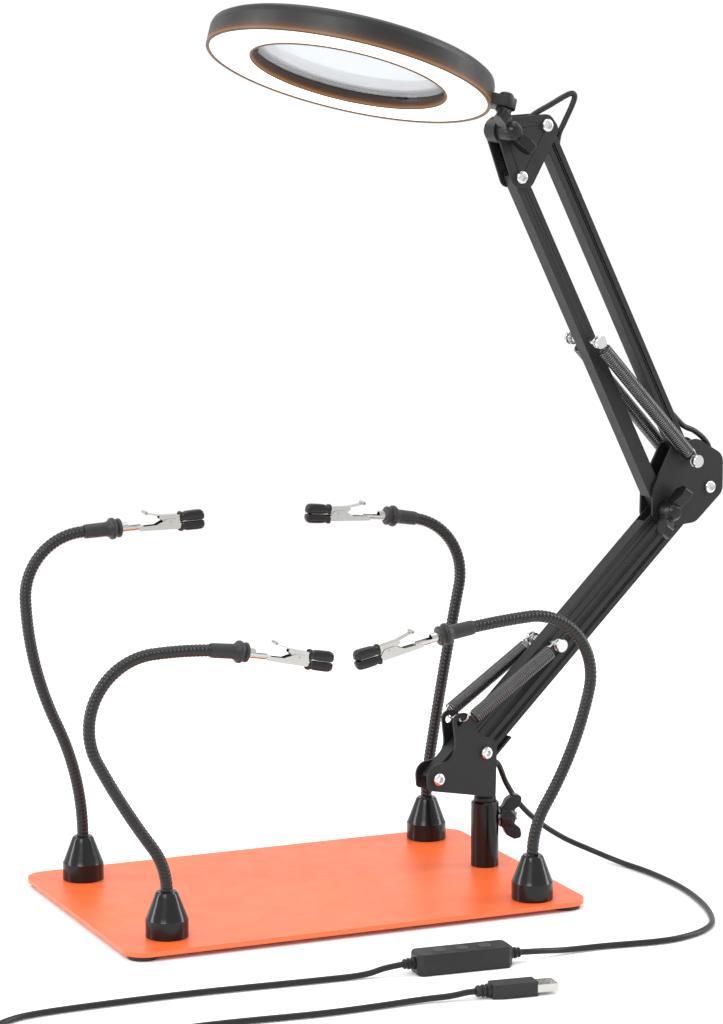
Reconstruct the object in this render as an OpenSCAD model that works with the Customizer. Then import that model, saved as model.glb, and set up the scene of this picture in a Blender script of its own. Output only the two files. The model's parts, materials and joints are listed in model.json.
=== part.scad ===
// Helping-hands work station: a painted steel plate carries four flexible
// gooseneck arms on magnetic bases, each ending in an alligator clip, and a
// spring-balanced two-stage arm that holds a ring-lit magnifying lamp.
// Origin: middle of the plate, on the table under its feet. +X runs along the
// plate's long side towards the lamp arm's socket, +Y to the back, +Z up.

/* [Base plate] */
// length of the steel plate along X
plate_length = 300; // [250:400]
// width of the steel plate along Y
plate_width = 200; // [150:250]
// thickness of the steel plate
plate_thickness = 3; // [2:0.5:4]
// radius of the plate's corners
plate_corner = 14; // [5:25]
// thickness of the rubber feet
foot_height = 3; // [2:0.5:5]
// diameter of the rubber feet
foot_diameter = 18; // [12:30]
// distance from the plate's edges to the middle of each foot
foot_inset = 12; // [10:30]

/* [Lamp arm socket] */
// X of the socket that holds the lamp arm
socket_x = 126.4; // [110:135]
// Y of the socket that holds the lamp arm
socket_y = 2.9; // [-10:10]
// outside diameter of the socket
socket_diameter = 17.6; // [16:22]
// height of the socket above the plate
socket_height = 42; // [30:60]
// diameter of the arm's pin in the socket
pin_diameter = 12; // [8:13]
// radial running clearance of every turning joint
running_gap = 0.05; // [0.01:0.01:0.1]
// compass heading of the arm's plane, from +X towards +Y
arm_heading = 10.6; // [-20:30]
// height of the thumb screw above the table
thumb_height = 37; // [20:45]
// heading of the thumb screw round the socket
thumb_heading = -12; // [-60:60]

/* [Balanced arm] */
// side of the square tube the four bars are cut from
bar_size = 10; // [8:12]
// wall of the square tube
bar_wall = 1; // [0.8:0.1:1.5]
// distance between the pivots of the lower bars
lower_length = 236.1; // [150:350]
// slope of the lower bars above the horizontal
lower_angle = 40.8; // [34:90]
// distance between the pivots of the upper bars
upper_length = 248.5; // [150:350]
// slope of the upper bars, measured from the arm's outward direction
upper_angle = 118.2; // [95:145]
// forward position of the lower link's base pivot in the arm's plane
base_pivot_u = -4.4; // [-10:5]
// height of the lower link's base pivot
base_pivot_z = 80.7; // [75:95]
// distance between the two base pivots
base_pivot_gap = 38.7; // [30:45]
// slope of the line from the main base pivot to the link's base pivot
base_pivot_slope = 18.6; // [0:30]
// distance between the two upper-stage pivots
head_pivot_gap = 36.9; // [30:45]
// slope of the line between the two upper-stage pivots
head_pivot_slope = 58.4; // [40:80]
// pivot bolt diameter
bolt_diameter = 5; // [4:6]
// thickness of the bracket side plates
bracket_plate = 1.5; // [1:0.1:2.5]
// room between a bar and each side plate
bracket_room = 0.35; // [0.2:0.05:1]

/* [Balance springs] */
// outside diameter of the springs
spring_diameter = 9.2; // [7:11]
// spring wire diameter
spring_wire = 1.3; // [1:0.1:1.6]
// pitch of the spring coils
spring_pitch = 1.75; // [1.5:0.05:3]
// distance of each spring from the middle of the arm
spring_offset = 12.6; // [12:15]
// distance from the main lower pivot to the lower spring post
lower_post_at = 117.5; // [60:160]
// distance from the elbow pivot to the upper spring post
upper_post_at = 129; // [60:160]

/* [Magnifier lamp] */
// distance of the lamp's tilt pivot from the middle of the arm's plane, forward
tilt_pivot_u = 7.9; // [0:20]
// height of the lamp's tilt pivot
tilt_pivot_z = 470.7; // [440:500]
// lean of the lamp's axis in the arm's plane
lamp_lean = 19.6; // [-20:60]
// sideways lean of the lamp's axis
lamp_roll = 6.4; // [-10:10]
// direction of the neck seen from the middle of the lamp
lamp_pan = -38.1; // [-90:90]
// distance from the tilt pivot to the lamp's lit face
neck_rise = 14; // [12:30]
// outside diameter of the lamp ring
lamp_diameter = 180.4; // [150:220]
// outside diameter of the white lit ring
lit_diameter = 176; // [140:210]
// inside diameter of the white lit ring
lit_inner = 124.5; // [100:150]
// height of the lamp ring
lamp_height = 17; // [12:30]
// diameter of the lens
lens_diameter = 121; // [90:140]
// radius of the lens surfaces
lens_curve = 330; // [150:600]

/* [Gooseneck arms] */
// diameter of the magnetic base
base_diameter = 25.6; // [20:40]
// height of the magnetic base
base_height = 27.5; // [20:40]
// height of the straight rim of the magnetic base
base_rim = 11.5; // [6:20]
// diameter of the top of the magnetic base
base_top = 13.4; // [10:18]
// diameter of the flexible neck
neck_diameter = 7.4; // [5:10]
// front left arm: base X, base Y, turn, then length and bend of its four curves
neck_fl = [-116.4, -71.1, 180, 28.6, 35.8, 63.6, -7.9, 84.5, -114.7, 59.4, -13.6];
// rear left arm
neck_rl = [-118.5, 72.9, 180, 74.7, 25, 82.8, -23, 60.7, -89.7, 25.1, 0];
// rear right arm
neck_rr = [121.3, 81.1, 0, 25.4, 9.3, 115.2, 2.2, 60.6, -89.2, 23.2, -6.9];
// front right arm
neck_fr = [118.6, -81.3, 0, 33, 32.5, 74.7, -19.7, 73.8, -105.8, 61.7, -8];
// opening angle of the clip jaws as posed
jaw_open = 0; // [0:25]

/* [Cable and controller] */
// cable diameter
cable_diameter = 3.6; // [3:5]
// controller length, width and height
controller = [59, 16, 12.6];
// controller middle X, Y and heading
controller_at = [23, -183.5, -3.5];
// plug moulding length, width and height
plug_moulding = [27, 13, 8];
// plug moulding rear end X, Y and heading
plug_at = [13.5, -241, -6];

/* [Hidden] */
table_gap = foot_height;
deck = foot_height + plate_thickness;
socket_top = deck + socket_height;
half_gap = bar_size/2 + bracket_room;
outer_face = half_gap + bracket_plate;
bore_d = bolt_diameter + 2*running_gap;
d_low = [cos(lower_angle), sin(lower_angle)];
d_up = [cos(upper_angle), sin(upper_angle)];
p2 = [base_pivot_u, base_pivot_z];
p1 = p2 - base_pivot_gap*[cos(base_pivot_slope), sin(base_pivot_slope)];
p3 = p2 + lower_length*d_low;
q = p1 + lower_length*d_low;
link_step = head_pivot_gap*[cos(head_pivot_slope), sin(head_pivot_slope)];
s = q + link_step;
c_top = q + upper_length*d_up;
d_top = c_top + link_step;
t_low = p1 + lower_post_at*d_low;
t_up = q + upper_post_at*d_up;
l_piv = [tilt_pivot_u, tilt_pivot_z];
ear = [-24.5, 102.7];
lamp_axis = [sin(lamp_lean)*cos(lamp_roll), cos(lamp_lean)*cos(lamp_roll), -sin(lamp_roll)];
lamp_x = [cos(lamp_lean), -sin(lamp_lean), 0];
lamp_y = [-sin(lamp_roll)*sin(lamp_lean), -sin(lamp_roll)*cos(lamp_lean), -cos(lamp_roll)];
hinge_reach = lamp_diameter/2 + 8;
m_piv = [l_piv[0], l_piv[1], 0] + neck_rise*lamp_axis;
lamp_mid = m_piv - hinge_reach*(cos(lamp_pan)*lamp_x + sin(lamp_pan)*lamp_y);

// ---------- helpers ----------
function unit(v) = v/norm(v);
function corner(a, p, b, r, n) =
  let (u1 = unit(a - p), u2 = unit(b - p), h = acos(min(1, max(-1, u1*u2)))/2,
       t = r/tan(h), c = p + unit(u1 + u2)*r/sin(h),
       v1 = p + u1*t - c, v2 = p + u2*t - c,
       a1 = atan2(v1[1], v1[0]), raw = atan2(v2[1], v2[0]) - a1,
       da = raw > 180 ? raw - 360 : raw < -180 ? raw + 360 : raw)
  [for (i = [0:n]) c + r*[cos(a1 + da*i/n), sin(a1 + da*i/n)]];
function rounded(v, n = 10) = [for (i = [0:len(v)-1])
  each corner([v[(i+len(v)-1)%len(v)][0], v[(i+len(v)-1)%len(v)][1]], [v[i][0], v[i][1]],
    [v[(i+1)%len(v)][0], v[(i+1)%len(v)][1]], v[i][2], n)];
function stadium(l, r, n = 14) = concat(
  [for (i = [0:n]) [l + r*cos(-90 + 180*i/n), r*sin(-90 + 180*i/n)]],
  [for (i = [0:n]) [r*cos(90 + 180*i/n), r*sin(90 + 180*i/n)]]);
function square_off(v, t) = unit(v - (v*t)*t);
function along(P) = [for (i = [0:len(P)-1])
  unit(P[min(i+1, len(P)-1)] - P[max(i-1, 0)])];
function catmull(a, b, c, d, t) = 0.5*(2*b + (c - a)*t + (2*a - 5*b + 4*c - d)*t*t
  + (3*b - a - 3*c + d)*t*t*t);
function smooth(C, n) = concat([for (i = [0:len(C)-2]) each [for (k = [0:n-1])
  catmull(C[max(i-1, 0)], C[i], C[i+1], C[min(i+2, len(C)-1)], k/n)]], [C[len(C)-1]]);

module sweep(P, r, sides, n0) {
  T = along(P);
  N = [for (i = 0, v = square_off(n0, T[0]); i < len(P); i = i + 1,
       v = i < len(P) ? square_off(v, T[i]) : v) v];
  pts = [for (i = [0:len(P)-1]) each [for (k = [0:sides-1])
    P[i] + r*(cos(360*k/sides)*N[i] + sin(360*k/sides)*cross(T[i], N[i]))]];
  body = [for (i = [0:len(P)-2]) each [for (k = [0:sides-1]) each
    let (a = i*sides + k, b = i*sides + (k+1)%sides, c = b + sides, d = a + sides)
    [[a, d, c], [a, c, b]]]];
  polyhedron(pts, concat([[for (k = [0:sides-1]) k]],
    [[for (k = [0:sides-1]) len(pts) - 1 - k]], body));
}
// the arm's plane: X forward, Y up, Z out of the plane towards the front
module in_arm() translate([socket_x, socket_y, 0]) rotate([0, 0, arm_heading])
  rotate([90, 0, 0]) children();
module at2(p) translate([p[0], p[1], 0]) children();
module both() { children(); mirror([0, 0, 1]) children(); }
module side_plate(v, holes) translate([0, 0, half_gap]) difference() {
  linear_extrude(bracket_plate) polygon(rounded(v));
  for (h = holes) translate([h[0], h[1], -1]) cylinder(d = h[2], h = bracket_plate + 2, $fn = 48);
}
module tube_bar(a, b, slots = []) at2(a) rotate([0, 0, atan2(b[1]-a[1], b[0]-a[0])])
  difference() {
    translate([0, 0, -bar_size/2]) linear_extrude(bar_size) polygon(stadium(norm(b-a), bar_size/2));
    translate([-bar_size, -bar_size/2 + bar_wall, -bar_size/2 + bar_wall])
      cube([norm(b-a) + 2*bar_size, bar_size - 2*bar_wall, bar_size - 2*bar_wall]);
    for (x = [0, norm(b-a)]) translate([x, 0, -bar_size]) cylinder(d = bore_d, h = 2*bar_size, $fn = 48);
    for (c = slots) translate(c[0]) cube(c[1]);
  }
// domed bolt head with a hexagon socket, standing on z = 0
module bolt_head(d, h) difference() {
  rotate_extrude($fn = 48) polygon([[0, 0], [d/2, 0], [d/2, h*0.35], [d/2*0.95, h*0.6],
    [d/2*0.82, h*0.85], [d/2*0.64, h], [0, h]]);
  translate([0, 0, h*0.35]) cylinder(d = d*0.5, h = h, $fn = 6);
}
module nut(d, h, bore) difference() {
  union() {
    cylinder(d = d, h = h*0.72, $fn = 6);
    cylinder(d = d*0.82, h = h, $fn = 40);
  }
  translate([0, 0, -1]) cylinder(d = bore, h = h + 2, $fn = 40);
}
module pivot_bolt() {
  translate([0, 0, -outer_face - 4.6]) cylinder(d = bolt_diameter, h = 2*outer_face + 5.1, $fn = 48);
  translate([0, 0, outer_face + 0.02]) bolt_head(8.4, 2.6);
}
module pivot_nut() translate([0, 0, -outer_face - 0.02]) mirror([0, 0, 1])
  nut(9.2, 4, bolt_diameter + 0.04);
// post that carries a spring at each end
module spring_post() {
  cylinder(d = bolt_diameter, h = 2*(spring_offset + 4.4), center = true, $fn = 48);
  both() translate([0, 0, spring_offset + 2.4]) rotate_extrude($fn = 40)
    polygon([[0, 0], [4, 0], [4.2, 0.3], [4.2, 1.5], [3.8, 2.1], [0, 2.1]]);
}
// two-winged tightening knob, base on z = 0, wings along X
module wing_knob(len, bore, depth) difference() {
  union() {
    rotate_extrude($fn = 48) polygon([[0, 0], [6.4, 0], [6.7, 0.4], [6.2, 7], [5.2, 9.5], [0, 10.2]]);
    translate([0, 3.6, 0]) rotate([90, 0, 0]) linear_extrude(7.2) polygon(rounded([
      [-5, 1.2, 1], [5, 1.2, 1], [len/2 - 3, 4.2, 3], [len/2, 9, 2.4], [len/2 - 1, 14, 2.4],
      [len/2 - 7, 13, 3], [4, 8.6, 3], [-4, 8.6, 3], [7 - len/2, 13, 3], [1 - len/2, 14, 2.4],
      [-len/2, 9, 2.4], [3 - len/2, 4.2, 3]], 6));
  }
  translate([0, 0, -1]) cylinder(d = bore, h = depth + 1, $fn = 48);
}
// extension spring from the origin to x = l: a ring at each end, or an inward
// hook at the origin that drops through the ear of a side plate
module coil_spring(l, hooked) {
  r = (spring_diameter - spring_wire)/2;
  h = 3.35;
  x0 = h + 4.2; x1 = l - h - 4.2;
  turns = floor((x1 - x0)/spring_pitch);
  step = (x1 - x0)/(turns*8);
  P = concat(
    hooked ? [[4.7, 0, -9.2], [2.7, 0, -9.1], [1.5, 0, -8.1], [1.2, 0, -6.4], [1.6, 0, -4.8],
      [2.6, 0.3, -2.8], [3.8, 1.6, -1.4], [5, 2.9, -1]] :
      concat([for (i = [0:9]) let (a = 400 - 310*i/9) [h*cos(a), h*sin(a), 0]], [[3.2, h + 0.1, -0.2]]),
    [[x0 - 1, r*0.97, -1.1]],
    [for (i = [0:turns*8]) [x0 + step*i, r*cos(45*i), r*sin(45*i)]],
    [[x1 + 1, r*0.97, 1.1], [l - 3.2, h + 0.1, 0.2]],
    [for (i = [0:9]) let (a = 90 - 310*i/9) [l + h*cos(a), h*sin(a), 0]]);
  sweep(P, spring_wire/2, 4, [0, 0.3, 1]);
}
module spring_pair(a, b, hooked) both() translate([a[0], a[1], spring_offset])
  rotate([0, 0, atan2(b[1]-a[1], b[0]-a[0])]) coil_spring(norm(b-a), hooked);

// ---------- base ----------
module base_plate() color([0.93, 0.27, 0.07]) difference() {
  translate([0, 0, foot_height]) linear_extrude(plate_thickness) polygon(rounded([
    [-plate_length/2, -plate_width/2, plate_corner], [plate_length/2, -plate_width/2, plate_corner],
    [plate_length/2, plate_width/2, plate_corner], [-plate_length/2, plate_width/2, plate_corner]], 12));
  translate([socket_x, socket_y, 0]) cylinder(d = 6.4, h = 20, $fn = 48);
}
module rubber_feet() color([0.06, 0.06, 0.06]) for (x = [-1, 1], y = [-1, 1])
  translate([x*(plate_length/2 - foot_inset), y*(plate_width/2 - foot_inset), 0])
    cylinder(d = foot_diameter, h = foot_height, $fn = 48);
// turned socket, its spigot riveted over under the plate
module arm_socket() color([0.05, 0.05, 0.05]) difference() {
  translate([socket_x, socket_y, deck]) rotate_extrude($fn = 64) polygon([
    [0, -plate_thickness - 1.8], [4.4, -plate_thickness - 1.5], [5, -plate_thickness], [3.2, -plate_thickness],
    [3.2, 0], [socket_diameter/2, 0], [socket_diameter/2, socket_height - 1],
    [socket_diameter/2 - 1, socket_height], [0, socket_height]]);
  translate([socket_x, socket_y, deck + 9]) cylinder(d = pin_diameter + 2*running_gap, h = 60, $fn = 64);
  translate([socket_x, socket_y, thumb_height]) rotate([0, 90, thumb_heading])
    cylinder(d = 5 + 2*running_gap, h = 20, $fn = 48);
}
module thumb_frame() translate([socket_x, socket_y, thumb_height]) rotate([0, 90, thumb_heading]) children();
module thumb_stud() color([0.75, 0.75, 0.77]) thumb_frame() translate([0, 0, 6.2])
  cylinder(d = 5, h = 14.5, $fn = 48);
module thumb_knob() color([0.04, 0.04, 0.04]) thumb_frame() translate([0, 0, socket_diameter/2 + 0.6])
  wing_knob(29, 5.04, 11.5);

// ---------- balanced arm: base ----------
module base_bracket() color([0.07, 0.07, 0.07]) in_arm() {
  v = [[3.4, 50.9, 1.5], [4.3, 89.2, 8], [-9, 91.5, 6], [-18.4, 108.3, 5], [-30.2, 108.3, 5],
    [-26.6, 79.2, 11], [-49.9, 77.2, 8], [-48.7, 61.9, 3]];
  holes = [[p1[0], p1[1], bore_d], [p2[0], p2[1], bore_d], [ear[0], ear[1], 5.2]];
  both() side_plate(v, holes);
  // web that stops the link bar at the bottom of its travel
  at2(p2) rotate([0, 0, lower_angle]) translate([4, -8, 0.4 - outer_face]) cube([16, 1.6, 2*outer_face - 0.8]);
}
module base_stem() color([0.05, 0.05, 0.05]) {
  in_arm() translate([-11, 54.2, -half_gap]) cube([14, 10, 2*half_gap]);
  translate([socket_x, socket_y, 0]) {
    translate([0, 0, socket_top + 0.3]) cylinder(d = 10.4, h = 8, $fn = 48);
    translate([0, 0, socket_top + 0.3]) cylinder(d = 14, h = 2.3, $fn = 48);
    translate([0, 0, deck + 12]) cylinder(d = pin_diameter, h = socket_height - 11, $fn = 64);
  }
}
module base_bolts() color([0.8, 0.8, 0.82]) in_arm() {
  at2(p1) pivot_bolt(); at2(p1) pivot_nut();
  at2(p2) pivot_bolt(); at2(p2) pivot_nut();
}

// ---------- balanced arm: lower stage ----------
// the main bar ends at the elbow in two cheeks that straddle the upper bar's tongue
module lower_main_bar() color([0.08, 0.08, 0.08]) in_arm() at2(p1) rotate([0, 0, lower_angle])
  difference() {
    translate([0, 0, -bar_size/2]) linear_extrude(bar_size) polygon(stadium(lower_length, bar_size/2));
    translate([-bar_size, -bar_size/2 + bar_wall, -bar_size/2 + bar_wall])
      cube([lower_length + 2*bar_size, bar_size - 2*bar_wall, bar_size - 2*bar_wall]);
    translate([lower_length - 15, -bar_size, -bar_size/2 + bar_wall])
      cube([30, 2*bar_size, bar_size - 2*bar_wall]);
    for (x = [0, lower_length]) translate([x, 0, -bar_size])
      cylinder(d = (x == 0 ? bolt_diameter : 6) + 2*running_gap, h = 2*bar_size, $fn = 48);
    translate([lower_post_at, 0, -bar_size]) cylinder(d = bolt_diameter + 0.04, h = 2*bar_size, $fn = 48);
  }
module lower_spring_post() color([0.82, 0.82, 0.84]) in_arm() at2(t_low) spring_post();
module lower_link_bar() color([0.08, 0.08, 0.08]) in_arm() tube_bar(p2, p3);
module lower_springs() color([0.3, 0.3, 0.31]) in_arm() spring_pair(ear, t_low, true);

// ---------- balanced arm: elbow ----------
module elbow_plates() color([0.1, 0.1, 0.1]) in_arm() {
  v = [[143.4, 265, 5], [164.5, 267.4, 9], [185.6, 255.2, 9], [185.6, 231, 8.5], [163, 212.6, 10],
    [141, 211.6, 9], [127.2, 215.4, 8], [127.6, 238, 9]];
  both() side_plate(v, [[q[0], q[1], 6 + 2*running_gap], [s[0], s[1], bore_d], [p3[0], p3[1], bore_d]]);
}
module carriage_bolt(l) {
  translate([0, 0, -outer_face - 0.02]) mirror([0, 0, 1]) rotate_extrude($fn = 48)
    polygon([[0, 0], [6, 0], [6, 0.8], [5.4, 2.1], [4.2, 3.2], [2.4, 3.9], [0, 4.2]]);
  translate([0, 0, -outer_face - 0.5]) cylinder(d = 6, h = l, $fn = 48);
}
module elbow_pins() color([0.8, 0.8, 0.82]) in_arm() {
  at2(q) carriage_bolt(2*outer_face + 11);
  at2(s) spring_post();
  at2(p3) pivot_bolt(); at2(p3) pivot_nut();
}
module elbow_knob() color([0.04, 0.04, 0.04]) in_arm() at2(q) translate([0, 0, outer_face + 0.3])
  rotate([0, 0, 57]) wing_knob(36, 6 + 2*running_gap, 12);

// ---------- balanced arm: upper stage ----------
module upper_main_bar() color([0.1, 0.1, 0.1]) in_arm() at2(q) rotate([0, 0, upper_angle])
  difference() {
    union() {
      translate([13, -bar_size/2, -bar_size/2]) cube([upper_length - 13, bar_size, bar_size]);
      translate([upper_length, 0, -bar_size/2]) cylinder(d = bar_size, h = bar_size, $fn = 48);
      translate([0, 0, -3.7]) linear_extrude(7.4) polygon(stadium(20, bar_size/2 - 1.2));
    }
    translate([21, -bar_size/2 + bar_wall, -bar_size/2 + bar_wall])
      cube([upper_length, bar_size - 2*bar_wall, bar_size - 2*bar_wall]);
    translate([0, 0, -bar_size]) cylinder(d = 6 + 2*running_gap, h = 2*bar_size, $fn = 48);
    translate([upper_length, 0, -bar_size]) cylinder(d = bore_d, h = 2*bar_size, $fn = 48);
    translate([upper_post_at, 0, -bar_size]) cylinder(d = bolt_diameter + 0.04, h = 2*bar_size, $fn = 48);
  }
module upper_spring_post() color([0.82, 0.82, 0.84]) in_arm() at2(t_up) spring_post();
module upper_link_bar() color([0.1, 0.1, 0.1]) in_arm()
  tube_bar(s, d_top, [[[27, -6, -2.6], [22, 3, 5.2]], [[upper_length - 34, -6, -2.6], [22, 3, 5.2]]]);
module upper_springs() color([0.3, 0.3, 0.31]) in_arm() spring_pair(t_up, s, false);
module lamp_cable() color([0.04, 0.04, 0.04]) in_arm() {
  nx = [d_up[1], -d_up[0]];
  in_top = d_top - 22*d_up;
  C = [[21, 460], [24.5, 468.5], [32, 478], [48, 485.6], [62, 491.6], [66.2, 490.3], [64, 484],
    [58, 473.6], in_top + 9.4*nx + 9*d_up, in_top + 3.6*nx, in_top - 16*d_up,
    (in_top + s)/2, s + 58*d_up, s + 48*d_up + 0.4*nx, s + 38*d_up + 3.2*nx, [149, 283],
    [157.3, 275.6], [166.3, 271.6], [174.9, 265.4], [179.3, 258.4], [177, 248.4]];
  sweep([for (p = smooth(C, 5)) [p[0], p[1], 0]], cable_diameter/2, 8, [0, 0, 1]);
}

// ---------- lamp head ----------
module head_plates() color([0.12, 0.12, 0.12]) in_arm() {
  both() side_plate([[l_piv[0] - 9.8, l_piv[1] + 7.9, 8], [d_top[0] + 2.6, d_top[1] + 7, 7.2],
    [d_top[0] + 10.5, d_top[1] - 2.4, 6.5], [c_top[0] + 7.6, c_top[1] - 7.4, 7], [c_top[0] - 5.4, c_top[1] - 6.6, 6.5]],
    [[l_piv[0], l_piv[1], 6 + 2*running_gap], [c_top[0], c_top[1], bore_d], [d_top[0], d_top[1], bore_d]]);
}
module head_bolts() color([0.8, 0.8, 0.82]) in_arm() {
  at2(l_piv) carriage_bolt(2*outer_face + 11);
  at2(c_top) pivot_bolt(); at2(c_top) pivot_nut();
  at2(d_top) pivot_bolt(); at2(d_top) pivot_nut();
}
module head_knob() color([0.06, 0.06, 0.06]) in_arm() at2(l_piv) translate([0, 0, outer_face + 0.3])
  rotate([0, 0, -45]) wing_knob(36, 6 + 2*running_gap, 12);
// Z along the lamp's axis, origin in the middle of its lit face
module in_lamp(p) in_arm() translate(p) rotate([0, 0, -lamp_lean]) rotate([-90 - lamp_roll, 0, 0]) children();
module lamp_neck() color([0.07, 0.07, 0.07]) {
  in_arm() at2(l_piv) difference() {
    cylinder(r = 8, h = 2*half_gap - 0.3, center = true, $fn = 64);
    cylinder(d = 6 + 2*running_gap, h = 30, center = true, $fn = 48);
  }
  in_lamp(m_piv) {
    translate([0, 0, 5.4 - neck_rise]) cylinder(r = 3.9, h = neck_rise - 7, $fn = 48);
    translate([0, 0, 11.7 - neck_rise]) cylinder(r = 5, h = neck_rise - 11.9, $fn = 48);
    translate([0, 0, -2]) cylinder(d = 6, h = 9.6, $fn = 48);
    translate([0, 0, 7.2]) bolt_head(9.4, 2.8);
  }
}
module lamp_housing() color([0.07, 0.07, 0.07]) in_lamp(lamp_mid) difference() {
  ro = lamp_diameter/2; ri = lens_diameter/2 + 0.1;
  union() {
    rotate_extrude($fn = 96) polygon([[ri + 0.9, -0.9], [ri + 1.9, -0.9], [ri + 1.9, 4], [ri + 1.7, 6],
      [ri + 1.7, lamp_height - 2], [ro - 2, lamp_height - 2], [ro - 2, -0.9], [ro - 0.3, -0.9],
      [ro, -0.4], [ro, lamp_height - 6], [ro - 1.2, lamp_height - 2.4], [ro - 4.2, lamp_height],
      [ri - 2, lamp_height], [ri - 2.4, lamp_height - 0.5], [ri - 2.4, 8.85], [ri, 8.45], [ri, 6], [ri + 0.9, 4]]);
    difference() {
      rotate([0, 0, lamp_pan]) linear_extrude(7) polygon(concat([[ro - 4, -8], [hinge_reach - 1, -7]],
        [for (i = [0:14]) [hinge_reach + 7*cos(-90 + 180*i/14), 7*sin(-90 + 180*i/14)]],
        [[hinge_reach - 1, 7], [ro - 4, 8]]));
      translate([0, 0, -1]) cylinder(r = ro - 0.8, h = 9, $fn = 96);
    }
  }
  rotate([0, 0, lamp_pan]) translate([hinge_reach, 0, -1]) cylinder(d = 6 + 2*running_gap, h = 12, $fn = 48);
}
module lamp_diffuser() color([0.98, 0.98, 0.95]) in_lamp(lamp_mid) rotate_extrude($fn = 96)
  polygon([[lit_inner/2 + 0.5, -0.2], [lit_diameter/2, -0.2], [lit_diameter/2, 1.8], [lit_inner/2 + 0.5, 1.8]]);
module lamp_lens() color([0.8, 0.9, 0.97]) in_lamp(lamp_mid) translate([0, 0, 7.4]) rotate_extrude($fn = 96) {
  r = lens_diameter/2;
  sag = function (x) (r*r - x*x)/(2*lens_curve) + 0.95;
  polygon(concat([for (i = [0:12]) [r*i/12, -sag(r*i/12)]], [for (i = [12:-1:0]) [r*i/12, sag(r*i/12)]]));
}

// ---------- gooseneck arms ----------
// one curve of the neck, growing from the origin along +Z and bending towards +X
module curve(l, a, d) {
  if (abs(a) < 0.5) cylinder(d = d, h = l, $fn = 48);
  else rotate([0, 0, a < 0 ? 180 : 0]) translate([l*180/(PI*abs(a)), 0, 0]) rotate([90, 0, 180])
    rotate_extrude(angle = abs(a), $fn = 96) translate([l*180/(PI*abs(a)), 0]) circle(d = d, $fn = 48);
}
// the same curve as points [x, z, heading], starting from p
function bend_points(p, l, a, k) = let (c = abs(a) < 0.01 ? l/k : 2*l/a*180/PI*sin(a/k/2))
  [for (i = 0, v = p; i <= k; i = i + 1, v = [v[0] + c*sin(v[2] + a/k/2), v[1] + c*cos(v[2] + a/k/2), v[2] + a/k]) v];
function tail(v) = [for (i = [1:len(v)-1]) v[i]];
module step_on(l, a) {
  if (abs(a) < 0.01) translate([0, 0, l]) children();
  else let (r = l*180/(PI*abs(a)))
    translate([sign(a)*r*(1 - cos(a)), 0, r*sin(abs(a))]) rotate([0, a, 0]) children();
}
module neck_foot(n) translate([n[0], n[1], 0]) rotate([0, 0, n[2]]) children();
module neck_end(n) neck_foot(n) translate([0, 0, deck + base_height]) step_on(n[3], n[4])
  step_on(n[5], n[6]) step_on(n[7], n[8]) step_on(n[9], n[10]) children();
// X along the clip towards its jaws, Y up, Z across it
module clip_frame(n) neck_end(n) rotate([0, -90, 0]) rotate([-90, 0, 0]) children();
module magnet_base(n) neck_foot(n) translate([0, 0, deck]) {
  color([0.05, 0.05, 0.05]) difference() {
    rotate_extrude($fn = 64) polygon([[0, 0], [base_diameter/2 - 0.5, 0], [base_diameter/2, 0.5],
      [base_diameter/2, base_rim - 0.6], [base_diameter/2 - 0.4, base_rim],
      [base_top/2, base_height - 1], [base_top/2 - 0.9, base_height], [0, base_height]]);
    translate([0, 0, -1]) cylinder(d = base_diameter - 4, h = 6, $fn = 64);
    translate([0, 0, base_height - 9]) cylinder(d = neck_diameter + 0.04, h = 12, $fn = 48);
  }
  color([0.6, 0.6, 0.62]) cylinder(d = base_diameter - 4.1, h = 4.9, $fn = 64);
}
module flex_neck(n) color([0.08, 0.08, 0.08]) neck_foot(n) {
  z0 = deck + base_height;
  k = (n[9] - 3.2)/n[9];
  c1 = bend_points([0, z0, 0], n[3], n[4], ceil(n[3]/7));
  c2 = bend_points(c1[len(c1)-1], n[5], n[6], ceil(n[5]/11));
  c3 = bend_points(c2[len(c2)-1], n[7], n[8], ceil(n[7]/5));
  c4 = bend_points(c3[len(c3)-1], n[9]*k, n[10]*k, ceil(n[9]/8));
  sweep([for (p = concat([[0, z0 - 8.5, 0]], c1, tail(c2), tail(c3), tail(c4))) [p[0], 0, p[1]]],
    neck_diameter/2, 10, [0, 1, 0]);
}
// rubber sleeve over the end of the neck, with two collar ribs at its mouth
module neck_sleeve(n) color([0.05, 0.05, 0.05]) neck_end(n) mirror([0, 0, 1]) {
  l = min(24, n[9] - 1);
  difference() {
    union() {
      curve(l, n[10]*l/n[9], 9);
      rotate_extrude($fn = 48) polygon([[0, 0], [5.2, 0], [5.8, 0.4], [6, 1.2], [5.8, 2.2], [5.2, 2.6],
        [5, 3.2], [5.2, 3.8], [6.4, 4.2], [6.8, 5.2], [6.6, 6.2], [5.9, 6.8], [4.9, 8.4], [0, 8.4]]);
    }
    translate([0, 0, -1]) cylinder(d = 6.04, h = 4.2, $fn = 40);
    step_on(3, n[10]*3/n[9]) curve(l + 1, n[10]*(l + 1)/n[9], neck_diameter + 0.2);
  }
}
pin_at = [33, 0.5];
module clip_side() polygon(rounded([[10, -3, 1], [20, -3.4, 2], [38, -4.2, 1], [40, -2.2, 0.8],
  [36.4, 2.2, 2], [29.8, 2.6, 1.8], [23, -0.6, 2.5], [12, -0.6, 0.6]], 5));
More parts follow.
